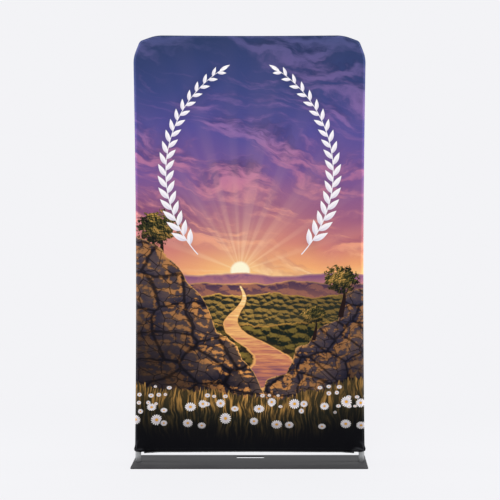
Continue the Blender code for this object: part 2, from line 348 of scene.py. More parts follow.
def makeCover(word, material):
    columns, sides = bothSides(edgeLines(sleeve["halfWidth"]))
    straight = sleeve["top"] - sleeve["cornerZone"] - sleeve["hemLevel"]
    hem = spreadLines([0.0], straight) + sleeve["hemLevel"]
    down = edgeLines(sleeve["cornerZone"])
    rows = np.concatenate([hem, sleeve["top"] - down[-2::-1]])
    offset, level = np.meshgrid(columns, rows)
    side = np.broadcast_to(sides, offset.shape)
    points, _, fromSeam = dressedPoints(side, offset, level, word)
    rowCount, columnCount = offset.shape
    index = np.arange(rowCount * columnCount).reshape(rowCount, columnCount)
    faces = np.stack([index[:-1, :-1], index[:-1, 1:], index[1:, 1:], index[1:, :-1]], -1).reshape(-1, 4)
    if covers[word]["facing"] > 0:
        faces = faces[:, ::-1]
    mesh = bpy.data.meshes.new(word + "Cover")
    mesh.from_pydata(points.reshape(-1, 3).tolist(), [], faces.tolist())
    addClothMaps(mesh, offset, level, side, fromSeam)
    mesh.shade_smooth()
    cover = addPiece(word + "Cover", mesh, material, [word + "_panel"])
    thickness = cover.modifiers.new("cloth", "SOLIDIFY")
    thickness.thickness = sleeve["cloth"]
    thickness.offset = -1


def addClothMaps(mesh, offset, level, side, fromSeam):
    # a map in metres for the knit, how far each point lies from the seam, and how deep in a crease
    across = (side * (sleeve["halfWidth"] - offset)).ravel()
    up = level.ravel()
    layer = mesh.uv_layers.new(name="knitMap")
    corners = np.zeros(len(mesh.loops), dtype=np.int64)
    mesh.loops.foreach_get("vertex_index", corners)
    layer.data.foreach_set("uv", np.stack([across[corners], up[corners]], -1).astype(np.float32).ravel())
    creased = creaseDepth(side, offset, level - sleeve["hemLevel"]) / max(row[-1] for row in creases)
    for label, values in (("fromSeam", fromSeam), ("creased", creased)):
        layer = mesh.attributes.new(label, "FLOAT", "POINT")
        layer.data.foreach_set("value", values.ravel().astype(np.float32))


# material building

class Value:
    # what comes out of a socket, so that sums can be written as sums
    def __init__(self, w, socket):
        self.w = w
        self.socket = socket

    __add__ = lambda one, two: one.w.calc("ADD", one, two)
    __radd__ = lambda one, two: one.w.calc("ADD", two, one)
    __sub__ = lambda one, two: one.w.calc("SUBTRACT", one, two)
    __rsub__ = lambda one, two: one.w.calc("SUBTRACT", two, one)
    __mul__ = lambda one, two: one.w.calc("MULTIPLY", one, two)
    __rmul__ = lambda one, two: one.w.calc("MULTIPLY", two, one)
    __truediv__ = lambda one, two: one.w.calc("DIVIDE", one, two)
    __pow__ = lambda one, two: one.w.calc("POWER", one, two)
    __abs__ = lambda one: one.w.calc("ABSOLUTE", one)


class Wiring:
    # adds nodes to one tree, and takes numbers, colours or sockets alike
    def __init__(self, tree):
        self.tree = tree
        self.count = 0

    def node(self, kind, inputs=(), **settings):
        made = self.tree.nodes.new(kind)
        for key, value in settings.items():
            setattr(made, key, value)
        for key, value in dict(inputs).items():
            self.feed(value, made.inputs[key])
        made.location = (self.count % 16 * 190, -(self.count // 16) * 220)
        self.count += 1
        return made

    def feed(self, value, target):
        if isinstance(value, Value):
            value = value.socket
        if isinstance(value, bpy.types.NodeSocket):
            self.tree.links.new(value, target)
        else:
            target.default_value = value

    def get(self, output, kind, inputs=(), **settings):
        return Value(self, self.node(kind, inputs, **settings).outputs[output])

    def split(self, spot):
        parts = self.node("ShaderNodeSeparateXYZ", {0: spot})
        return [Value(self, parts.outputs[axis]) for axis in "XYZ"]

    def calc(self, operation, *values):
        return self.get(0, "ShaderNodeMath", dict(enumerate(values)), operation=operation)

    def both(self, first, second):
        return self.calc("MINIMUM", first, second)

    def either(self, first, second):
        return self.calc("MAXIMUM", first, second)

    def size(self, x, y):
        return self.calc("SQRT", x * x + y * y)

    def fade(self, value, low, high, start=0.0, end=1.0):
        inputs = {"Value": value, "From Min": low, "From Max": high, "To Min": start, "To Max": end}
        return self.get(0, "ShaderNodeMapRange", inputs, interpolation_type="SMOOTHSTEP")

    def within(self, value, low, high, soft):
        return self.fade(value, low, low + soft) * self.fade(value, high, high - soft)

    def vector(self, x=0.0, y=0.0, z=0.0):
        return self.get(0, "ShaderNodeCombineXYZ", {"X": x, "Y": y, "Z": z})

    def laidFlat(self, turn=0.0):
        # the print's x and z as a flat point, turned by an angle
        spot = self.get("Object", "ShaderNodeTexCoord")
        inputs = {"Vector": spot, "Rotation": (-math.pi / 2, 0, turn), "Scale": (1, 0, 1)}
        return self.get(0, "ShaderNodeMapping", inputs)

    def mapped(self, base, seed, stretch, shift):
        inputs = {"Vector": base, "Location": (*shift, seed), "Scale": (*stretch, 1)}
        return self.get(0, "ShaderNodeMapping", inputs)

    def cloudy(self, spot, scale, detail=3.0, rough=0.5):
        inputs = {"Vector": spot, "Scale": scale, "Detail": detail, "Roughness": rough}
        return self.get(0, "ShaderNodeTexNoise", inputs)

    def grain(self, base, seed, scale, detail=3.0, rough=0.5, stretch=(1, 1), shift=(0, 0)):
        return self.cloudy(self.mapped(base, seed, stretch, shift), scale, detail, rough)

    def noise(self, x, y, seed, scale, detail=3.0, rough=0.5):
        return self.cloudy(self.vector(x, y, seed), scale, detail, rough)

    def packed(self, spot, scale, **settings):
        inputs = {"Vector": spot, "Scale": scale, "Randomness": 0.9}
        return self.get("Distance", "ShaderNodeTexVoronoi", inputs, voronoi_dimensions="2D", **settings)

    def cells(self, base, size, stretch=(1, 1), shift=(0, 0)):
        return self.packed(self.mapped(base, 0.0, stretch, shift), 1 / size)

    def ramp(self, value, stops):
        made = self.node("ShaderNodeValToRGB", {0: value})
        elements = made.color_ramp.elements
        while len(elements) < len(stops):
            elements.new(0.5)
        for element, (position, colour) in zip(elements, stops):
            element.position = position
            element.color = colour
        return Value(self, made.outputs[0])

    def mix(self, factor, under, over, mode="MIX"):
        inputs = {0: factor, 6: under, 7: over}
        return self.get(2, "ShaderNodeMix", inputs, data_type="RGBA", blend_type=mode)

    def place(self):
        spot = self.get("Object", "ShaderNodeTexCoord")
        return [spot] + self.split(spot)

    def finish(self, shader, colour=None, roughness=None, height=None, strength=0.0, depth=0.0):
        normal = None
        if height:
            inputs = {"Height": height, "Strength": strength, "Distance": depth}
            normal = self.get(0, "ShaderNodeBump", inputs)
        for label, value in (("Base Color", colour), ("Roughness", roughness), ("Normal", normal)):
            if value:
                self.feed(value, shader.inputs[label])


def newMaterial(name, roughness, metallic=0.0):
    material = bpy.data.materials.new(name)
    material.use_nodes = True
    shader = material.node_tree.nodes["Principled BSDF"]
    shader.inputs["Roughness"].default_value = roughness
    shader.inputs["Metallic"].default_value = metallic
    return material, shader, Wiring(material.node_tree)


# the print: a low sun over a river valley, between two leafy sprigs

artwork = {
    "horizon": 0.98,
    "skyHeight": 1.28,
    "sun": (-0.05, 1.02),
    "hemTones": ((0.30, 0.07, 0.92, tint(17, 17, 21)), (0.070, 0.065, 0.8, tint(4, 4, 5))),
}
clouds = {
    "drift": 0.26,
    "tilt": (0.97, 0.24),
    "curl": 0.34,
    "flat": 3.4,
    "grain": (1.7, 1.9, 9, 0.6),  # seed, scale, detail, roughness
    "step": (0.012, 0.030),  # towards the sun, for the light on them
}
river = {
    "top": 0.945,
    "bottom": 0.40,
    "turns": 9.4,
    "closing": 0.75,  # far bends lie closer together
    "swing": 0.19,
    "drift": 0.05,
    "narrow": 0.005,
    "wide": 0.15,
    "widening": 1.6,
    "ragged": 0.56,
}
crestSoft = 0.0015
squash = 1.35
skyTones = [
    (0.00, tint(255, 214, 140)),
    (0.06, tint(244, 168, 112)),
    (0.14, tint(206, 124, 116)),
    (0.25, tint(158, 96, 128)),
    (0.40, tint(116, 84, 146)),
    (0.58, tint(84, 78, 146)),
    (0.78, tint(60, 70, 124)),
    (1.00, tint(46, 60, 98)),
]
cloudShade = [
    (0.00, tint(180, 98, 100)),
    (0.20, tint(132, 74, 116)),
    (0.45, tint(70, 54, 108)),
    (0.75, tint(50, 54, 102)),
    (1.00, tint(40, 50, 84)),
]
cloudLight = [
    (0.00, tint(255, 220, 164)),
    (0.16, tint(238, 158, 130)),
    (0.38, tint(200, 124, 152)),
    (0.62, tint(140, 106, 166)),
    (1.00, tint(78, 84, 132)),
]


def paintSky(w, x, z, flat, tilted):
    sunX, sunZ = artwork["sun"]
    drift = w.grain(flat, 3.1, 1.6, 2)
    bent = z + (drift - 0.5) * clouds["drift"]
    height = (bent - artwork["horizon"]) / artwork["skyHeight"]
    sky = w.ramp(height, skyTones)
    shades, lights = w.ramp(height, cloudShade), w.ramp(height, cloudLight)
    level, tilt = clouds["tilt"]
    along = x * level + z * -tilt
    up = z * level + x * tilt
    curl = w.grain(tilted, 7.7, 1.9, 4, stretch=(1.3, 2.0))
    up = up + (curl - 0.5) * clouds["curl"]
    aside, below = clouds["step"]
    cloud = w.noise(along, up * clouds["flat"], *clouds["grain"])
    under = w.noise(along + aside, (up - below) * clouds["flat"], *clouds["grain"])
    lit = w.fade(cloud - under, -0.085, 0.075)
    body = w.fade(cloud, 0.44, 0.62)
    sky = w.mix(body * 0.82, sky, w.mix(lit, shades, lights))
    wisp = w.noise(along * 0.9, up * 9.0, 5.2, 2.6, 7, 0.62)
    sky = w.mix(w.fade(wisp, 0.56, 0.78, 0.0, 0.42), sky, lights)
    dx, dz = x - sunX, z - sunZ
    far = w.size(dx, dz)
    rays = w.noise(w.calc("ARCTAN2", dz, dx) * 3.4, 0.0, 9.4, 2.2, 2, 0.4)
    rays = w.fade(rays, 0.44, 0.66) * w.calc("EXPONENT", far * -3.9)
    sky = w.mix(rays * 0.46, sky, tint(255, 196, 150), "SCREEN")
    glow = w.calc("EXPONENT", far * -6.4)
    sky = w.mix(glow * 0.70, sky, tint(255, 186, 100), "SCREEN")
    disc = w.fade(far, 0.058, 0.042)
    return w.mix(disc, sky, tint(255, 248, 216))


def sunSide(w, x, reach):
    # 1 under the sun, falling off to both sides
    return w.calc("EXPONENT", abs(x - artwork["sun"][0]) * -reach)


def crownRelief(w, flat, size, seed, step):
    # light and shade on packed round crowns or crags, from two samples a short step apart
    heights = []
    for share in (0.0, 1.0):
        shift = (seed + step[0] * share, seed + step[1] * share)
        crowns = w.cells(flat, size, (1.0, squash), shift)
        grit = w.grain(flat, seed, 4.5 / size, 4, 0.62, (1.0, squash), shift)
        heights.append(grit * 0.6 - crowns)
    return w.fade(heights[0] - heights[1], -0.12, 0.20)


hills = [
    {"base": 1.005, "swing": 0.075, "rough": 0.006, "pitch": 3.2, "seed": 11.0, "grain": 0.10, "depth": 0.09,
     "crestTone": tint(128, 84, 122), "footTone": tint(206, 134, 120), "litTone": tint(216, 140, 128),
     "rimTone": tint(255, 200, 146), "relief": 0.30},
    {"base": 0.960, "swing": 0.080, "rough": 0.010, "pitch": 3.9, "seed": 23.0, "grain": 0.055, "depth": 0.11,
     "crestTone": tint(74, 54, 78), "footTone": tint(140, 92, 84), "litTone": tint(200, 130, 92),
     "rimTone": tint(255, 186, 116), "relief": 0.60},
    {"base": 0.895, "swing": 0.085, "rough": 0.024, "pitch": 4.6, "seed": 35.0, "grain": 0.034, "depth": 0.26,
     "crestTone": tint(36, 42, 38), "footTone": tint(62, 60, 42), "litTone": tint(190, 150, 76),
     "rimTone": tint(250, 188, 96), "relief": 0.85},
    {"base": 0.740, "swing": 0.110, "rough": 0.034, "pitch": 3.6, "seed": 52.0, "grain": 0.060, "depth": 0.34,
     "crestTone": tint(26, 34, 30), "footTone": tint(34, 40, 28), "litTone": tint(158, 132, 62),
     "rimTone": tint(238, 176, 86), "relief": 0.85},
]


def paintHill(w, x, z, flat, under, hill):
    swing = w.grain(flat, hill["seed"], hill["pitch"], 3, 0.45, (1, 0))
    rough = w.grain(flat, hill["seed"] + 4, hill["pitch"] * 9, 4, 0.6, (1, 0))
    lift = hill["base"] - hill["swing"] / 2 - hill["rough"] / 2
    crest = lift + swing * hill["swing"] + rough * hill["rough"]
    below = crest - z
    size = hill["grain"]
    relief = crownRelief(w, flat, size, hill["seed"], (size * 0.05, size * 0.22))
    sunward = sunSide(w, x, 3.0)
    shade = w.mix(w.fade(below, 0.0, hill["depth"]), hill["crestTone"], hill["footTone"])
    lit = relief * hill["relief"] * (0.25 + sunward * 0.75)
    rim = w.fade(below, 0.012, 0.0) * (0.15 + sunward * 0.6)
    colour = w.mix(rim, w.mix(lit, shade, hill["litTone"]), hill["rimTone"])
    return w.mix(w.fade(below, -crestSoft, crestSoft), under, colour)


def paintRiver(w, x, z, flat, under):
    fall = w.either((river["top"] - z) / (river["top"] - river["bottom"]), 0.0)
    swing = w.calc("SINE", fall ** river["closing"] * river["turns"] + 0.5) * (fall * river["swing"])
    middle = artwork["sun"][0] + swing + fall * river["drift"]
    width = river["narrow"] + fall ** river["widening"] * river["wide"]
    ragged = w.grain(flat, 61.0, 6.0, 5, 0.6, (1, 5))
    away = abs(x - middle) / (width * (1 - river["ragged"] / 2 + ragged * river["ragged"]))
    ripple = w.grain(flat, 63.0, 3.2, 6, 0.6, (2.4, 26.0))
    water = w.ramp(fall * 0.55 + (ripple - 0.42) * 0.9, [
        (0.00, tint(255, 236, 180)),
        (0.20, tint(250, 194, 120)),
        (0.45, tint(206, 128, 96)),
        (0.70, tint(122, 78, 98)),
        (1.00, tint(60, 48, 76)),
    ])
    bank = w.fade(away, 2.1, 0.9) * w.fade(fall, 0.02, 0.2, 0.0, 0.6)
    under = w.mix(bank, under, tint(60, 44, 34))
    edge = w.fade(away, 1.16, 1.04) * w.fade(fall, 0.0, 0.05)
    under = w.mix(edge, under, tint(236, 172, 104))
    mask = w.fade(away, 1.0, 0.92) * w.fade(fall, 0.0, 0.01)
    return w.mix(mask, under, water)


flanks = [
    {"side": 1, "base": 0.30, "rise": 0.66, "power": 0.95, "from": -0.02, "seed": 83.0, "size": 0.150},
    {"side": -1, "base": 0.30, "rise": 0.98, "power": 0.80, "from": 0.10, "seed": 47.0, "size": 0.190},
]
stone = {
    "crack": tint(13, 11, 15),
    "shade": tint(50, 42, 46),
    "body": tint(96, 76, 64),
    "cool": tint(70, 72, 104),
    "gold": tint(232, 158, 88),
    "rim": tint(255, 190, 112),
    "deep": tint(16, 14, 18),
    "swing": 0.15,
    "bumps": 0.150,
    "grit": 0.030,
    "warp": 0.10,
    "lumps": ((1.0, 0.42), (0.45, 0.26), (0.2, 0.14)),  # share of the flank's size, relief
}


def paintFlank(w, x, z, flat, under, flank):
    seed, size, side = flank["seed"], flank["size"], flank["side"]
    run = w.either((x * side + flank["from"]) / (sleeve["halfWidth"] + flank["from"]), 0.0)
    crest = flank["base"] + run ** flank["power"] * flank["rise"]
    swing = w.grain(flat, seed, 3.4, 2, 0.5, (1, 0))
    bumps = w.cells(flat, size * 1.1, (1, 0.8), (seed, 0))
    grit = w.grain(flat, seed + 2, 30.0, 5, 0.65)
    crest = crest + (swing - 0.5) * stone["swing"]
    crest = crest + (0.4 - bumps) * stone["bumps"]
    crest = crest + (grit - 0.5) * stone["grit"]
    below = crest - z
    warp = (w.grain(flat, seed + 3, 0.9 / size, 3, 0.55) - 0.5) * stone["warp"]
    heights, joints = [], []
    for share in (0.0, 1.0):
        shift = (-side * size * 0.10 * share, size * 0.08 * share)
        spot = w.vector(x + warp + (seed + shift[0]), (z - warp + shift[1]) * squash)
        height = w.grain(flat, seed, 5.0 / size, 6, 0.66, (1, squash), shift) * 0.55
        for shareOfSize, tall in stone["lumps"]:
            height = height + (1.0 - w.packed(spot, 1 / (size * shareOfSize))) * tall
        heights.append(height)
        gap = w.packed(spot, (1.0 + 1.2 * share) / size, feature="DISTANCE_TO_EDGE")
        joints.append(w.fade(gap, 0.0, 0.10 - 0.03 * share))
    relief = w.fade(heights[0] - heights[1], -0.09, 0.15)
    warm = 0.12 + sunSide(w, x, 2.6) * 0.88
    colour = w.ramp(heights[0], [(0.42, stone["crack"]), (0.60, stone["shade"]), (0.92, stone["body"])])
    cool = w.fade(relief, 0.55, 0.15) * (0.695 - warm * 0.625)
    colour = w.mix(cool * 0.5, colour, stone["cool"])
    lit = w.fade(relief, 0.40, 1.0) * warm
    colour = w.mix(lit * w.fade(below, 0.55, 0.05, 0.35, 1.0), colour, stone["gold"])
    colour = w.mix(w.fade(below, 0.012, 0.0) * warm, colour, stone["rim"])
    cracked = w.fade(joints[0] * joints[1], 0.8, 0.0) * 0.75
    colour = w.mix(cracked, colour, stone["crack"])
    colour = w.mix(w.fade(below, 0.10, 0.75, 0.0, 0.72), colour, stone["deep"])
    return w.mix(w.fade(below, -crestSoft, crestSoft), under, colour)


trees = [
    {"foot": (-0.475, 1.070), "tall": 0.27, "wide": 0.25, "seed": 5.0},
    {"foot": (0.490, 0.830), "tall": 0.22, "wide": 0.20, "seed": 6.0},
    {"foot": (0.345, 0.690), "tall": 0.15, "wide": 0.14, "seed": 7.0},
]


treeShape = {  # shares of a tree's height and width, and how uneven its crown is
    "bend": 0.05,
    "footGirth": 0.075,
    "topGirth": 0.028,
    "crownAside": 0.04,
    "crownMiddle": 0.66,
    "crownHalf": 0.36,
    "ragged": 1.5,
}


def paintTree(w, x, z, flat, under, tree):
    footX, footZ = tree["foot"]
    tall, wide, seed, shape = tree["tall"], tree["wide"], tree["seed"], treeShape
    lift = (z - footZ) / tall
    bend = w.calc("SINE", lift * 5.0) * (wide * shape["bend"])
    stem = abs(x - footX - bend)
    girth = w.fade(lift, -0.15, 0.5, wide * shape["footGirth"], wide * shape["topGirth"])
    trunk = w.fade(girth - stem, 0.0, 0.0015) * w.fade(lift, 0.62, 0.55)
    trunk = trunk * w.fade(lift, -0.25, -0.24)
    under = w.mix(trunk, under, tint(38, 26, 26))
    lean = x - footX + wide * shape["crownAside"]
    lumps = w.grain(flat, seed, 3.2 / wide, 6, 0.66)
    bulk = w.size(lean / (wide / 2), (lift - shape["crownMiddle"]) / shape["crownHalf"])
    crown = bulk + (lumps - 0.5) * shape["ragged"]
    holes = w.grain(flat, seed + 1, 9.0 / wide, 4, 0.7)
    mask = w.fade(crown, 1.0, 0.94) * w.fade(holes - bulk * 0.30, 0.20, 0.235)
    towards = 1 if footX < artwork["sun"][0] else -1
    leaves = w.grain(flat, seed + 2, 7.0 / wide, 8, 0.72)
    ahead = w.grain(flat, seed + 2, 7.0 / wide, 8, 0.72, (1, 1), (towards * wide * 0.016, wide * 0.018))
    behind = w.grain(flat, seed, 3.2 / wide, 3, 0.5, (1, 1), (towards * 0.06, 0.05))
    clumps = w.fade(lumps - behind, -0.16, 0.16)
    sunlit = w.fade((x - footX) * (towards / wide), -0.5, 0.6)
    relief = w.fade(leaves - ahead, -0.12, 0.12) * 0.55 + clumps * 0.25
    relief = relief + sunlit * 0.22
    colour = w.ramp(relief, [
        (0.12, tint(16, 20, 22)),
        (0.42, tint(44, 48, 32)),
        (0.62, tint(96, 86, 44)),
        (0.92, tint(226, 172, 92)),
    ])
    colour = w.mix(w.fade(lift, 0.75, 0.35, 0.0, 0.7), colour, tint(20, 22, 26))
    return w.mix(mask, under, colour)


meadow = {
    "level": 0.20,
    "swell": 0.20,
    "tips": 0.12,
    "rise": 0.16,  # towards both sides
    "lean": 0.10,
    "deep": 0.30,
}


def paintMeadow(w, x, z, flat, under):
    edge = w.grain(flat, 71.0, 3.0, 3, 0.5, (1, 0))
    tips = w.grain(flat, 72.0, 60.0, 2, 0.7, (1, 0))
    crest = meadow["level"] + (edge * meadow["swell"] + tips * meadow["tips"])
    rise = abs(x) ** 1.5 * meadow["rise"]
    below = crest + rise - z
    lean = x + (w.grain(flat, 73.0, 5.0, 2) - 0.5) * meadow["lean"]
    blades = w.noise(lean * 26.0, z * 2.6, 74.0, 3.0, 5, 0.6)
    deep = w.fade(below, 0.0, meadow["deep"])
    shade = w.ramp(deep, [(0.0, tint(62, 54, 36)), (0.35, tint(34, 34, 28)), (1.0, tint(13, 13, 16))])
    lit = w.ramp(deep, [(0.0, tint(226, 168, 90)), (0.4, tint(96, 80, 48)), (1.0, tint(22, 26, 26))])
    sunward = 0.30 + sunSide(w, x, 2.4) * 0.70
    colour = w.mix(w.fade(blades, 0.46, 0.64) * sunward, shade, lit)
    return w.mix(w.fade(below, -0.002, 0.004), under, colour)


flowers = [
    {"pitch": 0.050, "radius": 0.0165, "seed": 3.0, "low": 0.27, "high": 0.41, "petals": 6.5, "amount": 0.50},
    {"pitch": 0.092, "radius": 0.0320, "seed": 8.0, "low": 0.17, "high": 0.33, "petals": 7.5, "amount": 0.47},
]


def paintFlowers(w, x, z, under, bloom):
    grid = {"Vector": w.vector(x + bloom["seed"], z), "Scale": 1 / bloom["pitch"], "Randomness": 0.6}
    cells = w.node("ShaderNodeTexVoronoi", grid, voronoi_dimensions="2D").outputs
    centreX, centreZ, _ = w.split(cells["Position"])
    chance = [Value(w, part) for part in w.node("ShaderNodeSeparateColor", {0: cells["Color"]}).outputs]
    centreX = centreX - bloom["seed"]
    turned = 0.66 + chance[1] * 0.34
    dx, dz = x - centreX, (z - centreZ) / turned
    far = w.size(dx, dz)
    angle = w.calc("ARCTAN2", dz, dx) + chance[2] * 6.0
    radius = bloom["radius"] * (0.6 + chance[0] * 0.4)
    petal = abs(w.calc("COSINE", angle * bloom["petals"])) ** 0.5
    reach = radius * (0.50 + petal * 0.50)
    spread = w.noise(centreX, centreZ, bloom["seed"] + 50, 5.0, 1)
    spread = spread + abs(centreX) * 0.32
    here = w.within(centreZ, bloom["low"], bloom["high"], 0.001)
    here = here * w.calc("GREATER_THAN", spread, bloom["amount"] + 0.06)
    mask = w.fade(reach - far, 0.0, 0.0016) * here
    inner = far / radius
    white = w.ramp(inner * 0.8 + petal * 0.25, [
        (0.0, tint(150, 138, 150)), (0.45, tint(214, 206, 218)), (1.0, tint(252, 247, 244))])
    colour = w.mix(w.fade(inner, 0.30, 0.24), white, tint(232, 172, 62))
    return w.mix(mask, under, colour)


sprig = {
    "inset": 0.20,
    "middle": 1.54,
    "radius": 0.64,
    "start": -38.0,
    "end": 56.0,
    "pitch": 0.060,
    "leafLong": 0.096,
    "leafWide": 0.0165,
    "lean": 34.0,
    "taper": 0.45,
    "stem": 0.0032,
    "swelling": 0.8,  # below 1, so that a leaf is widest below its middle
    "tipLong": 0.7,
    "tipWide": 0.6,
    "soft": 0.0014,
    "shadow": 0.18,
    "shadowWide": 0.07,
}


def paintSprigs(w, x, z, under):
    dx, dz = abs(x) + sprig["inset"], z - sprig["middle"]
    angle = w.calc("ARCTAN2", dz, dx)
    start, end = math.radians(sprig["start"]), math.radians(sprig["end"])
    total = (end - start) * sprig["radius"]
    along = (angle - start) * sprig["radius"]
    away = w.size(dx, dz) - sprig["radius"]
    outer = w.calc("SIGN", away)
    share = along / total
    small = 1.0 - share * sprig["taper"]
    pitch = sprig["pitch"]
    shifted = along + outer * (pitch / 4)
    local = w.calc("FRACT", shifted / pitch) * pitch
    lean = math.radians(sprig["lean"])
    side = abs(away)
    mask, tone = None, None
    for back in (0, 1):
        run = local + back * pitch
        lengthwise = run * math.cos(lean) + side * math.sin(lean)
        across = side * math.cos(lean) - run * math.sin(lean)
        ratio = lengthwise / (small * sprig["leafLong"])
        ratio = w.both(w.either(ratio, 0.0), 1.0)
        bulge = w.calc("SINE", ratio ** sprig["swelling"] * math.pi)
        half = bulge * small * sprig["leafWide"]
        foot = along - run
        there = w.within(foot, 0.0, total, 0.001)
        leaf = w.fade(half - abs(across), 0.0, sprig["soft"]) * there
        shade = w.fade(across, -0.001, 0.001, 0.25, 0.0) + ratio * 0.55
        mask = leaf if mask is None else w.either(mask, leaf)
        tone = shade if tone is None else tone * (1.0 - leaf) + shade * leaf
    tipRatio = (along - total) / (sprig["leafLong"] * sprig["tipLong"])
    tipRatio = w.both(w.either(tipRatio, 0.0), 1.0)
    tipHalf = w.calc("SINE", tipRatio ** sprig["swelling"] * math.pi)
    tipHalf = tipHalf * (sprig["leafWide"] * sprig["tipWide"])
    tip = w.fade(tipHalf - side, 0.0, sprig["soft"])
    onStem = w.fade(along, -0.05, -0.048) * w.fade(along, total + 0.01, total)
    stem = w.fade(small * sprig["stem"] - side, 0.0, 0.0012) * onStem
    mask = w.either(w.either(mask, tip), stem)
    colour = w.ramp(tone, [
        (0.0, tint(214, 206, 222)), (0.4, tint(244, 239, 244)), (0.9, tint(255, 253, 250))])
    shadow = w.fade(side, sprig["shadowWide"], 0.0, 0.0, sprig["shadow"])
    shadow = shadow * (w.fade(along, -0.05, 0.05) * w.fade(along, total + 0.06, total - 0.04))
    under = w.mix(shadow, under, tint(30, 24, 56))
    return w.mix(mask, under, colour)


def knitHeight(w):
    # two sets of fine ribs, a course and a wale, from the cloth's own map
    across, up, _ = w.split(w.get(0, "ShaderNodeUVMap", uv_map="knitMap"))
    wale = w.calc("SINE", across * (2 * math.pi / knit["wale"]))
    shift = abs(wale) * (knit["course"] * 0.5)
    course = w.calc("SINE", (up + shift) * (2 * math.pi / knit["course"]))
    fuzz = w.noise(across, up, 2.0, knit["fuzz"], 3, 0.6)
    return (wale + course) * 0.5 + fuzz * 0.8


knit = {
    "wale": 0.0011,
    "course": 0.0014,
    "depth": 0.00020,
    "strength": 0.45,
    "fuzz": 260.0,
    "speckle": 620.0,
    "melange": 0.10,
    # the next share paints a highlight along the creases, partly the pale unprinted yarn that shows where the
    # knit stretches
    "creaseHighlight": 0.12,  # how much of the unprinted yarn shows in a crease
    "gloss": 0.03,
}
seam = {
    "thread": 0.0060,  # black overlock thread shows this far from the joint
    "ridge": 0.0175,  # the turned allowance behind the cloth ends here
    "ridgeHalf": 0.0032,
    # strength of the painted highlight along that ridge
    "ridgeHighlight": 0.07,
}


def finishCloth(w, shader, colour, material):
    # seam stitches' dark line at the very edge, a painted highlight along the seam allowance's ridge, then
    # the knit
    edge = w.get("Fac", "ShaderNodeAttribute", attribute_name="fromSeam")
    middle, half = seam["ridge"], seam["ridgeHalf"]
    # painted highlight: a pale line where the turned allowance behind the cloth ends, standing for the light
    # its ridge would catch
    paintedRidgeLine = w.within(edge, middle - half, middle + half, half)
    colour = w.mix(paintedRidgeLine * seam["ridgeHighlight"], colour, tint(168, 172, 184))
    colour = w.mix(w.fade(edge, seam["thread"], seam["thread"] * 0.4), colour, tint(12, 12, 15))
    speckle = w.cloudy(w.get(0, "ShaderNodeUVMap", uv_map="knitMap"), knit["speckle"], 2.0)
    colour = w.mix(w.fade(speckle, 0.3, 0.7, knit["melange"], 0.0), colour, tint(0, 0, 0))
    w.finish(shader, colour, None, knitHeight(w), knit["strength"], knit["depth"])
    shader.inputs["Specular IOR Level"].default_value = knit["gloss"]
    return material


def printedCloth():
    material, shader, w = newMaterial("printedKnit", 0.78)
    _, x, _, z = w.place()
    flat, tilted = w.laidFlat(), w.laidFlat(math.radians(14))
    colour = paintSky(w, x, z, flat, tilted)
    for hill in hills:
        colour = paintHill(w, x, z, flat, colour, hill)
    colour = paintRiver(w, x, z, flat, colour)
    colour = paintTree(w, x, z, flat, colour, trees[0])
    for flank in flanks:
        colour = paintFlank(w, x, z, flat, colour, flank)
    for tree in trees[1:]:
        colour = paintTree(w, x, z, flat, colour, tree)
    colour = paintMeadow(w, x, z, flat, colour)
    for bloom in flowers:
        colour = paintFlowers(w, x, z, colour, bloom)
    colour = paintSprigs(w, x, z, colour)
    for high, low, share, tone in artwork["hemTones"]:
        colour = w.mix(w.fade(z, high, low, 0.0, share), colour, tone)
    creased = w.get("Fac", "ShaderNodeAttribute", attribute_name="creased")
    # painted highlight along the creases, partly the pale unprinted yarn showing through there
    colour = w.mix(creased * knit["creaseHighlight"], colour, tint(150, 150, 158))
    return finishCloth(w, shader, colour, material)


def plainCloth():
    material, shader, w = newMaterial("plainKnit", 0.85)
    _, x, _, z = w.place()
    through = w.ramp(z / sleeve["top"], [
        (0.03, tint(226, 225, 227)),
        (0.20, tint(234, 231, 230)),
        (0.45, tint(242, 239, 238)),
        (0.70, tint(239, 238, 243)),
        (1.00, tint(231, 233, 240)),
    ])
    mottle = w.noise(x, z, 4.0, 3.0, 4, 0.55)
    colour = w.mix(w.fade(mottle, 0.3, 0.7, 0.0, 0.35), through, tint(244, 243, 245))
    return finishCloth(w, shader, colour, material)


# foot plate

plate = {
    "length": 1.238,
    "depth": 0.305,
    "thick": sleeve["plateTop"],
    "corner": 0.008,
    "slotLong": 0.150,
    "slotWide": 0.042,
    "slotCorner": 0.010,
    "slotFromRear": 0.030,
    "cornerSteps": 8,
    "edge": 0.0007,
    "gloss": 0.12,
    "roughness": (0.60, 0.68),
    "peelScale": 900.0,
    "peel": (0.25, 0.0002),  # strength and depth
}


def roundedRing(centreY, long, wide, radius):
    ring, steps = [], plate["cornerSteps"]
    for quarter, (right, up) in enumerate(((1, 1), (-1, 1), (-1, -1), (1, -1))):
        middle = Vector((right * (long / 2 - radius), centreY + up * (wide / 2 - radius)))
        for step in range(steps + 1):
            angle = math.radians(90) * (quarter + step / steps)
            ring.append(middle + radius * Vector((math.cos(angle), math.sin(angle))))
    return ring


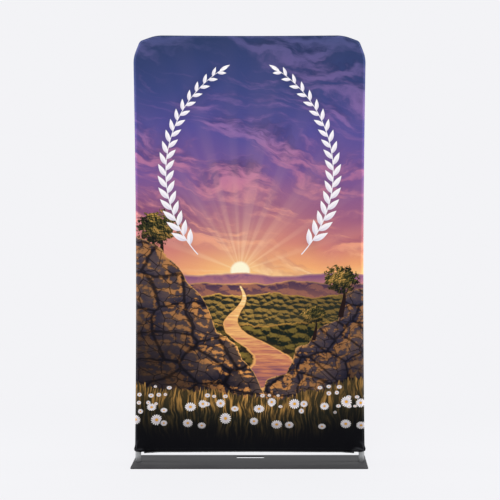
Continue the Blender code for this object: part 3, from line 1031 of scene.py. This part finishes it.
def makePlate(material):
    curve = bpy.data.curves.new("footPlateOutline", "CURVE")
    curve.dimensions = "2D"
    curve.fill_mode = "BOTH"
    curve.extrude = plate["thick"] / 2 - plate["edge"]
    curve.bevel_depth = plate["edge"]
    curve.bevel_resolution = 2
    curve.offset = -plate["edge"]
    slotY = plate["depth"] / 2 - plate["slotFromRear"] - plate["slotWide"] / 2
    rings = [
        roundedRing(0, plate["length"], plate["depth"], plate["corner"]),
        roundedRing(slotY, plate["slotLong"], plate["slotWide"], plate["slotCorner"]),
    ]
    for ring in rings:
        spline = curve.splines.new("POLY")
        spline.use_cyclic_u = True
        spline.points.add(len(ring) - 1)
        for target, point in zip(spline.points, ring):
            target.co = (point.x, point.y, 0, 1)
    drawn = placed("footPlateDraft", curve)
    drawn.location.z = plate["thick"] / 2
    bpy.context.view_layer.update()
    mesh = bakedMesh(drawn, "footPlate")
    mesh.shade_smooth()
    mesh.set_sharp_from_angle(angle=math.radians(40))
    return addPiece("footPlate", mesh, material, ["base_plate"])


def plateFinish():
    material, shader, w = newMaterial("powderCoat", 0.5)
    spot, x, y, _ = w.place()
    cloud = w.noise(x, y, 1.0, 5.0, 3)
    colour = w.mix(w.fade(cloud, 0.3, 0.7), tint(55, 55, 57), tint(61, 61, 63))
    _, _, up = w.split(w.get("True Normal", "ShaderNodeNewGeometry"))
    # painted shade: faces that turn away from straight up, the plate's sides and rounded edges, are darker
    colour = w.mix(w.fade(abs(up), 0.8, 0.3), colour, tint(40, 40, 42))  # the edges
    shader.inputs["Specular IOR Level"].default_value = plate["gloss"]
    orangePeel = w.cloudy(spot, plate["peelScale"], 2.0)
    w.finish(shader, colour, w.fade(cloud, 0.3, 0.7, *plate["roughness"]), orangePeel, *plate["peel"])
    return material


# poles, swept by Geometry Nodes from a bowed line

tube = {"radius": sleeve["tubeRadius"], "wall": 0.0015, "sides": 56, "sections": 64}


def newTree(name, sizes, build, material):
    # takes a line, builds along it, and ends with real faces and their material
    tree = bpy.data.node_groups.new(name, "GeometryNodeTree")
    tree.interface.new_socket("Geometry", in_out="INPUT", socket_type="NodeSocketGeometry")
    for label, value in sizes.items():
        kind = "NodeSocketInt" if isinstance(value, int) else "NodeSocketFloat"
        socket = tree.interface.new_socket(label, in_out="INPUT", socket_type=kind)
        socket.default_value = value
    tree.interface.new_socket("Geometry", in_out="OUTPUT", socket_type="NodeSocketGeometry")
    w = Wiring(tree)
    start, end = w.node("NodeGroupInput").outputs, w.node("NodeGroupOutput").inputs
    curve = w.get(0, "GeometryNodeMeshToCurve", {0: start["Geometry"]})
    real = w.get(0, "GeometryNodeRealizeInstances", {0: build(w, curve, start)})
    w.feed(w.get(0, "GeometryNodeSetMaterial", {"Geometry": real, "Material": material}), end[0])
    return tree


def sweptRing(w, curve, sizes):
    inputs = {"Resolution": sizes["Sides"], "Radius": sizes["Radius"]}
    ring = w.get(0, "GeometryNodeCurvePrimitiveCircle", inputs)
    skin = w.get(0, "GeometryNodeCurveToMesh", {"Curve": curve, "Profile Curve": ring})
    return w.get(0, "GeometryNodeSetShadeSmooth", {0: skin})


def rowOf(link):
    # copies of one small shape along the line, a pitch apart
    def build(w, curve, sizes):
        inputs = {0: curve, "Length": sizes["Pitch"]}
        spots = w.node("GeometryNodeCurveToPoints", inputs, mode="LENGTH").outputs
        size = w.vector(sizes["Link thick"], sizes["Link wide"], sizes["Link long"])
        inputs = {"Points": spots["Points"], "Instance": link(w, size), "Rotation": spots["Rotation"]}
        return w.get(0, "GeometryNodeInstanceOnPoints", inputs)
    return build


def runTree(source, tree, sizes, name):
    # sets the inputs by their identifiers, evaluates once and returns the plain mesh
    modifier = source.modifiers.new(name, "NODES")
    modifier.node_group = tree
    for item in tree.interface.items_tree:
        if item.in_out == "INPUT" and item.name in sizes:
            modifier[item.identifier] = sizes[item.name]
    bpy.context.view_layer.update()
    return bakedMesh(source, name)


def lineObject(name, points):
    mesh = bpy.data.meshes.new(name)
    edges = [(index, index + 1) for index in range(len(points) - 1)]
    mesh.from_pydata([tuple(point) for point in points], edges, [])
    return placed(name, mesh)


def makePoles(material):
    sizes = {"Radius": tube["radius"], "Sides": tube["sides"]}
    tree = newTree("sweptTube", sizes, sweptRing, material)
    for side, word in ((-1, "left"), (1, "right")):
        node = "pole_" + word
        low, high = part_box(node)
        heights = np.linspace(low.z, high.z, tube["sections"])
        x, z = settle(np.full_like(heights, side * poleX), heights)
        points = np.stack([x, np.zeros_like(x), z], -1)
        name = "tube" + word.title()
        mesh = runTree(lineObject("poleLine", points), tree, sizes, name)
        outward(mesh)
        pole = addPiece(name, mesh, material, [node])
        wall = pole.modifiers.new("wall", "SOLIDIFY")
        wall.thickness = tube["wall"]
        wall.offset = -1


def outward(mesh):
    # one turn of the normals, before any wall gets its thickness
    shape = bmesh.new()
    shape.from_mesh(mesh)
    bmesh.ops.remove_doubles(shape, verts=shape.verts, dist=1e-6)
    bmesh.ops.recalc_face_normals(shape, faces=shape.faces)
    shape.to_mesh(mesh)
    shape.free()


def tubeFinish():
    material, shader, w = newMaterial("satinTube", 0.55, 0.25)
    _, x, y, z = w.place()
    streak = w.noise(x * 60.0, y * 60.0, 0.0, 4.0, 3)
    drawn = w.noise(x * 420.0, z * 3.0, 3.0, 1.0, 4, 0.6)
    colour = w.mix(w.fade(streak, 0.3, 0.7), tint(152, 153, 155), tint(164, 165, 167))
    w.finish(shader, colour, w.fade(drawn, 0.2, 0.8, 0.50, 0.60))
    return material


# zip under the hem

zipStrip = {
    "tall": 0.0066,
    "thick": 0.0036,
    "seat": 0.0003,
    "toothPitch": 0.0022,
    "toothWide": 0.0052,
    "toothTall": 0.0017,
    "toothLong": 0.0011,
    "toothLevel": 0.86,  # how far down the strip the teeth sit
    "steps": 140,
    "section": [(0.55, -1), (1, -0.6), (1, 0.75), (0.7, 1)],  # shares of half its thickness and height
    "tapeHalf": 0.0008,  # the sewn-in part of the tape
    "tapeTall": 0.0075,
}
endTaper = 0.72
endRounding = 0.0014
zipEnds = [  # the slider, then the end stop at the other end
    {"name": "zipSlider", "x": -0.5550, "long": 0.0150, "tall": 0.0080, "thick": 0.0058},
    {"name": "zipStop", "x": 0.5495, "long": 0.0055, "tall": 0.0074, "thick": 0.0046},
]


def plainBlack(name, roughness, first, second, scale):
    material, shader, w = newMaterial(name, roughness)
    grain = w.cloudy(w.place()[0], scale)
    w.finish(shader, w.mix(w.fade(grain, 0.35, 0.65), first, second), None, grain, 0.4, 0.0002)
    return material


def hemPath(count, low):
    # points along the middle of the zip, crowded towards its ends
    x = -sleeve["zipEnd"] * np.cos(np.linspace(0, math.pi, count))
    z = hemHeight(sleeve["halfWidth"] - np.abs(x)) - zipStrip["seat"] - low
    return np.stack([x, np.zeros_like(x), z], -1)


def zipTooth(w, size):
    return w.get(0, "GeometryNodeMeshCube", {"Size": size})


def makeZip(tape, teeth):
    path = hemPath(zipStrip["steps"], zipStrip["tall"] / 2)
    shape = bmesh.new()
    half = Vector((0, zipStrip["thick"] / 2, zipStrip["tall"] / 2))
    thin, high = zipStrip["tapeHalf"] / half.y, 1 + zipStrip["tapeTall"] / half.z
    right = zipStrip["section"] + [(thin, 1), (thin, high)]
    left = [(-a, b) for a, b in reversed(right)]
    section = left[-1:] + right + left[:-1]
    rings = []
    for x, y, z in path:
        rings.append([shape.verts.new((x, y + a * half.y, z + b * half.z)) for a, b in section])
    for before, after in zip(rings, rings[1:]):
        for index in range(len(section)):
            shape.faces.new((before[index - 1], before[index], after[index], after[index - 1]))
    shape.faces.new(rings[0])
    shape.faces.new(rings[-1][::-1])
    bmesh.ops.recalc_face_normals(shape, faces=shape.faces)
    addPiece("zipTape", meshFrom(shape, "zipTape"), tape, ["zip"])
    sizes = {"Pitch": zipStrip["toothPitch"], "Link wide": zipStrip["toothWide"],
             "Link thick": zipStrip["toothTall"], "Link long": zipStrip["toothLong"]}
    tree = newTree("zipTeeth", sizes, rowOf(zipTooth), teeth)
    line = lineObject("zipLine", hemPath(zipStrip["steps"], zipStrip["tall"] * zipStrip["toothLevel"]))
    addPiece("zipTeeth", runTree(line, tree, sizes, "zipTeeth"), teeth)
    for end in zipEnds:
        makeZipEnd(end, tape)


def makeZipEnd(end, material):
    # a rounded block round the coil, tapered towards the closed side
    name, x, long, tall, thick = (end[key] for key in ("name", "x", "long", "tall", "thick"))
    level = hemHeight(np.array(sleeve["halfWidth"] - abs(x))) - zipStrip["seat"]
    shape = bmesh.new()
    bmesh.ops.create_cube(shape, size=1.0)
    for vertex in shape.verts:
        inner = vertex.co.x * x < 0
        taper = endTaper if inner else 1.0
        vertex.co.x *= long
        vertex.co.y *= thick * taper
        vertex.co.z *= tall * taper
    bmesh.ops.bevel(shape, geom=shape.edges[:], offset=endRounding, segments=3, affect="EDGES")
    bmesh.ops.translate(shape, verts=shape.verts, vec=(x, 0, float(level) - tall / 2))
    bmesh.ops.recalc_face_normals(shape, faces=shape.faces)
    mesh = meshFrom(shape, name)
    mesh.shade_smooth()
    addPiece(name, mesh, material)


# hem stitches, one short thread after another

stitch = {
    "pitch": 0.0042,
    "long": 0.0030,
    "thick": 0.00075,
    "above": 0.0105,
    "proud": 0.0001,
    "startShare": 0.3,
}


def threadBead(w, size):
    bead = w.get(0, "GeometryNodeMeshUVSphere", {"Segments": 8, "Rings": 5, "Radius": 0.5})
    return w.get(0, "GeometryNodeTransform", {"Geometry": bead, "Scale": size})


def makeStitches(material):
    thick = stitch["thick"]
    sizes = {"Pitch": stitch["pitch"], "Link wide": thick, "Link thick": thick, "Link long": stitch["long"]}
    tree = newTree("stitchRow", sizes, rowOf(threadBead), material)
    offsets = edgeLines(sleeve["halfWidth"])
    columns, side = bothSides(offsets[offsets > wrap * stitch["startShare"]])
    level = np.full_like(columns, sleeve["hemLevel"] + stitch["above"])
    rows = np.stack([level - 0.001, level, level + 0.001])  # the outer two are only for the normals
    sides, offset = np.broadcast_to(side, rows.shape), np.broadcast_to(columns, rows.shape)
    for word in covers:
        points, normals, _ = dressedPoints(sides, offset, rows, word)
        line = lineObject("stitchLine", points[1] + normals[1] * stitch["proud"])
        name = "hemStitches" + word.title()
        mesh = runTree(line, tree, sizes, name)
        mesh.shade_smooth()
        addPiece(name, mesh, material)


# floor, light and camera

studio = {
    "backdrop": tint(243, 243, 246),
    "floorReach": 40.0,
    "floorTone": tint(196, 196, 199),
    "floorGlow": 0.86,  # share of the backdrop's own light in the floor by the banner
    "floorLight": 0.42,  # how much of that glow falls on the banner
    "blendFrom": 0.5,
    "blendTo": 2.6,
    "worldStrength": 0.28,
}
softboxes = [  # place, aim, width, height, watts
    ("softboxLeft", (-3.6, 0.08, 2.1), (0, 0, 0.5), 0.7, 2.0, 135),
    ("softboxRight", (3.6, 0.08, 2.1), (0, 0, 0.5), 0.7, 2.0, 135),
    ("softboxFront", (0, -5.5, 2.6), (0, 0, 1.1), 3.0, 2.0, 205),
    ("softboxBack", (0, 5.8, 4.0), (0, 0, 1.1), 6.0, 2.4, 84),
    ("softboxTop", (0, -0.8, 5.6), (0, 0, 0), 7.0, 7.0, 142),
]
photoView = {
    "focalPixels": 1292.5,
    "framePixels": 500,
    "sensor": 36.0,
    "distance": 6.8157,
    "height": 1.565,
    "across": 0.155,  # the camera stands a little to the right of the banner's middle
    "tiltDegrees": 2.2,
    "middleX": 279.05,
    "middleY": 217.45,
}


def makeFloor():
    shape = bmesh.new()
    bmesh.ops.create_grid(shape, x_segments=1, y_segments=1, size=studio["floorReach"])
    mesh = meshFrom(shape, "paleFloor")
    floor = placed("paleFloor", mesh)
    material = bpy.data.materials.new("paleFloor")
    material.use_nodes = True
    tree = material.node_tree
    tree.nodes.clear()
    w = Wiring(tree)
    _, x, y, _ = w.place()
    matt = w.get(0, "ShaderNodeBsdfDiffuse", {"Color": studio["floorTone"]})
    seen = w.get("Is Camera Ray", "ShaderNodeLightPath")
    strength = studio["floorLight"] + seen * (1 - studio["floorLight"])
    glow = w.get(0, "ShaderNodeEmission", {"Color": studio["backdrop"], "Strength": strength})
    far = w.fade(w.size(x, y), studio["blendFrom"], studio["blendTo"], studio["floorGlow"], 1.0)
    both = w.get(0, "ShaderNodeMixShader", {0: far, 1: matt, 2: glow})
    w.node("ShaderNodeOutputMaterial", {0: both})
    mesh.materials.append(material)


def makeWorld():
    world = bpy.data.worlds.new("studio")
    bpy.context.scene.world = world
    world.use_nodes = True
    world.node_tree.nodes.clear()
    w = Wiring(world.node_tree)
    seen = w.get("Is Camera Ray", "ShaderNodeLightPath")
    backdrop = w.get(0, "ShaderNodeBackground", {0: studio["backdrop"], 1: 1.0})
    fill = w.get(0, "ShaderNodeBackground", {0: (1.0, 1.0, 1.0, 1.0), 1: studio["worldStrength"]})
    w.node("ShaderNodeOutputWorld", {0: w.get(0, "ShaderNodeMixShader", {0: seen, 1: fill, 2: backdrop})})


def makeLights():
    for name, spot, aim, width, tall, power in softboxes:
        light = bpy.data.lights.new(name, "AREA")
        light.shape = "RECTANGLE"
        light.size, light.size_y = width, tall
        light.energy = power
        box = placed(name, light)
        box.location = spot
        box.rotation_euler = (Vector(aim) - Vector(spot)).to_track_quat("-Z", "Y").to_euler()
        box.visible_camera = False


def makeCamera():
    view = photoView
    data = bpy.data.cameras.new("photoCamera")
    data.sensor_width = view["sensor"]
    data.lens = view["focalPixels"] * view["sensor"] / view["framePixels"]
    half = view["framePixels"] / 2
    data.shift_x = (half - view["middleX"]) / view["framePixels"]
    data.shift_y = (view["middleY"] - half) / view["framePixels"]
    camera = placed("photoCamera", data)
    camera.location = (view["across"], -view["distance"], view["height"])
    camera.rotation_euler = (math.radians(90 - view["tiltDegrees"]), 0, 0)
    bpy.context.scene.camera = camera


bpy.context.scene.view_settings.view_transform = "Standard"
makeCamera()
makeWorld()
makeLights()
makeFloor()
print("studio ready")

satin = tubeFinish()
coat = plateFinish()
for name in ("elbow_left", "elbow_right", "top_bar", "spigot_left", "spigot_right"):
    node = cadNodes[name]
    node.data.materials.clear()
    node.data.materials.append(coat if name.startswith("spigot") else satin)
makePlate(coat)
makePoles(satin)
print("frame and plate dressed")

makeCover("front", printedCloth())
makeCover("back", plainCloth())
print("cloth stretched")

tape = plainBlack("zipTapeBlack", 0.8, tint(16, 16, 18), tint(30, 30, 33), 700.0)
teeth = plainBlack("zipTeethBlack", 0.4, tint(20, 20, 22), tint(28, 28, 30), 300.0)
thread = plainBlack("blackThread", 0.7, tint(14, 14, 16), tint(34, 34, 38), 2200.0)
makeZip(tape, teeth)
makeStitches(thread)
print("zip and stitches sewn")
